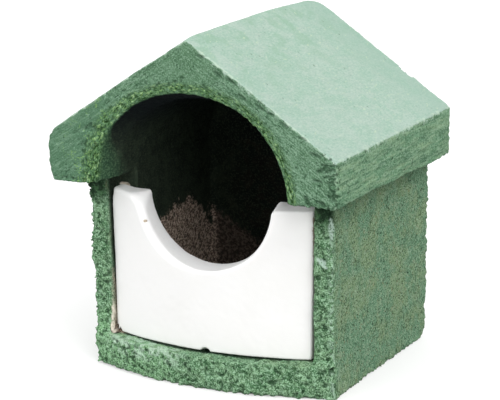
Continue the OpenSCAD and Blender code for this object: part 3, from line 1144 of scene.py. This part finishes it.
def body_material():
    s = Shader("body_paint")
    grain = s.noise(1.0, 1, 0.5)
    eave_shadow = s.attribute("eave_shadow")
    coarse = s.attribute("coarse")
    shade = s.layers((0.01, 0.026, 0.013), (s.noise(4.0, 2), 0.50, 0.62, 1.0, (0.045, 0.11, 0.048)))
    # Painted shadow under the eave: slight on the side wall, strong on the front
    side = s.mix(s.times(eave_shadow, 0.25), wall_colour(s, grain), (0.05, 0.095, 0.05))
    front = s.mix(s.times(eave_shadow, 0.93), coarse_colour(s, grain), shade)
    sunk = s.ramp(coarse, 0.0, 1.0, 0.15, 0.75)
    scuff = s.times(s.attribute("scuff"), 0.85)
    colour = s.mix(coarse, side, front)
    # Painted shade in the low parts of the relief, most on the rough front
    colour = s.layers(colour, (s.attribute("relief"), -0.3, -1.2, sunk, (0.016, 0.044, 0.02)))
    # Painted shade under the panel's foot and in the hollows beside it
    colour = s.mix(s.attribute("hollow_shade"), colour, (0.006, 0.014, 0.008))
    colour = s.layers(colour, (s.noise(1.6, 2, 0.6), 0.34, 0.50, scuff, (0.43, 0.56, 0.48)))
    tint = s.layers((0.018, 0.026, 0.02), (s.noise(6, 2), 0.42, 0.58, 1.0, (0.028, 0.026, 0.02)))
    dark = inside_colour(s, tint, (0.007, 0.01, 0.01), -0.064)
    bare = s.layers(
        (0.125, 0.092, 0.072),
        (s.noise(1.6, 2, 0.65), 0.42, 0.62, 1.0, (0.59, 0.47, 0.375)),
        # Painted shade: the bare patch darker away from the left wall
        (s.axis(0), -0.066, -0.060, 0.78, (0.022, 0.018, 0.015)),
    )
    ragged = s.times(s.math("SUBTRACT", s.noise(4.5, 4, 0.7), 0.5), 26.0)
    dark = s.layers(dark, (s.math("ADD", s.attribute("patch"), ragged), -2.5, 3.5, 1.0, bare))
    # The inside: dark paint and painted shade, with the bare patch
    colour = s.mix(s.attribute("inner"), colour, dark)
    beige = s.layers((0.46, 0.39, 0.3), (s.noise(1.8, 2, 0.6), 0.30, 0.50, 1.0, (0.79, 0.73, 0.63)))
    colour = s.mix(s.attribute("raw"), colour, beige)
    return s.finish(colour, s.ramp(grain, 0.2, 0.8, 0.8, 0.97), s.bump(grain, 0.45))


def panel_material():
    s = Shader("panel_paint")
    s.surface.inputs["Specular IOR Level"].default_value = 0.4
    cloud = s.noise(22, 3, 0.55)
    grain = s.noise(1.4, 3, 0.6)
    notch = s.attribute("notch")
    colour = s.layers(
        (0.836, 0.832, 0.818),
        (cloud, 0.3, 0.7, 1.0, (0.85, 0.846, 0.838)),
        (grain, 0.55, 0.75, 0.3, (0.865, 0.865, 0.86)),
        # Painted light: lighter white toward the left and near the top, where less light falls
        (s.axis(0), -0.010, -0.075, 0.8, (0.905, 0.903, 0.895)),
        (s.axis(2), 0.100, 0.122, 0.9, (0.945, 0.943, 0.932)),
    )
    # Painted light: the notch's cut face and the top in a lighter white, where less light falls
    colour = s.mix(notch, colour, (0.955, 0.955, 0.95))
    colour = s.layers(colour, (s.noise(3.0, 2, 0.6), 0.56, 0.70, s.times(notch, 0.12), (0.66, 0.65, 0.62)))
    beige = s.layers((0.24, 0.18, 0.11), (s.noise(1.5, 2, 0.6), 0.4, 0.6, 1.0, (0.52, 0.42, 0.3)))
    colour = s.mix(s.attribute("raw"), colour, beige)
    return s.finish(colour, s.ramp(cloud, 0.3, 0.7, 0.55, 0.7), s.bump(grain, 0.03))


# ------ set, light and camera

def build_floor():
    mesh = bpy.data.meshes.new("floor")
    reach = 5.0
    corners = [(-reach, -reach, 0), (reach, -reach, 0), (reach, reach, 0), (-reach, reach, 0)]
    mesh.from_pydata(corners, [], [(0, 1, 2, 3)])
    floor = bpy.data.objects.new("floor", mesh)
    bpy.context.scene.collection.objects.link(floor)
    s = Shader("floor_white")
    seen = s.seen()
    s.finish(s.math("ADD", 0.40, s.times(seen, 0.15)), 1.0)
    s.surface.inputs["Emission Color"].default_value = (1, 1, 1, 1)
    s.feed(s.surface.inputs["Emission Strength"], s.times(seen, 0.45))
    mesh.materials.append(s.material)


def sun(name, toward, strength, spread):
    """A wide, even lamp that shines from the direction toward."""
    lamp = bpy.data.lights.new(name, "SUN")
    lamp.energy = strength * math.pi
    lamp.angle = math.radians(spread)
    made = bpy.data.objects.new(name, lamp)
    made.rotation_euler = Vector(toward).to_track_quat("Z", "Y").to_euler()
    bpy.context.scene.collection.objects.link(made)


def build_world(level):
    """White to the camera, and at that level as a light."""
    world = bpy.data.worlds.new("studio")
    bpy.context.scene.world = world
    world.use_nodes = True
    nodes = Nodes(world.node_tree)
    back = world.node_tree.nodes["Background"].inputs
    nodes.feed(back["Strength"], nodes.ramp(nodes.seen(), 0.0, 1.0, level, 1.0))
    back["Color"].default_value = (1, 1, 1, 1)


def build_camera():
    """The photograph's view: the camera looks at a point near the middle of the box."""
    azimuth, elevation, roll = math.radians(28.525), math.radians(14.60), math.radians(-0.916)
    target = Vector((-9.58, 12.2, 107.2)) * MM
    distance = 1.5769
    across = math.cos(elevation)
    away = Vector((math.sin(azimuth) * across, -math.cos(azimuth) * across, math.sin(elevation)))
    data = bpy.data.cameras.new("camera")
    data.sensor_width = 36.0
    data.lens = 162.3924
    camera = bpy.data.objects.new("camera", data)
    turn = away.to_track_quat("Z", "Y").to_matrix().to_4x4() @ Matrix.Rotation(roll, 4, "Z")
    camera.matrix_world = Matrix.Translation(target + away * distance) @ turn
    bpy.context.scene.collection.objects.link(camera)
    bpy.context.scene.camera = camera


roof = build_roof()
body = build_body()
panel = build_panel()
roof.data.materials.append(roof_material())
body.data.materials.append(body_material())
panel.data.materials.append(panel_material())

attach(roof, "box")
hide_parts("left_roof_half", "right_roof_half", "rear_gable")
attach(body, "box")
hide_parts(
    "floor_slab", "front_sill", "left_jamb", "right_jamb", "left_wall", "right_wall", "back_wall"
)
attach(panel, "panel")
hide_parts("front_panel")

build_floor()
build_camera()
sun("front_left", (-0.55, -0.66, 0.51), 0.44, 60)
sun("front_right", (0.66, -0.50, 0.56), 0.72, 50)
sun("top", (0.20, 0.15, 1.0), 0.27, 60)
sun("back", (-0.35, 0.85, 0.40), 0.22, 60)
build_world(0.44)
bpy.context.scene.view_settings.view_transform = "Standard"
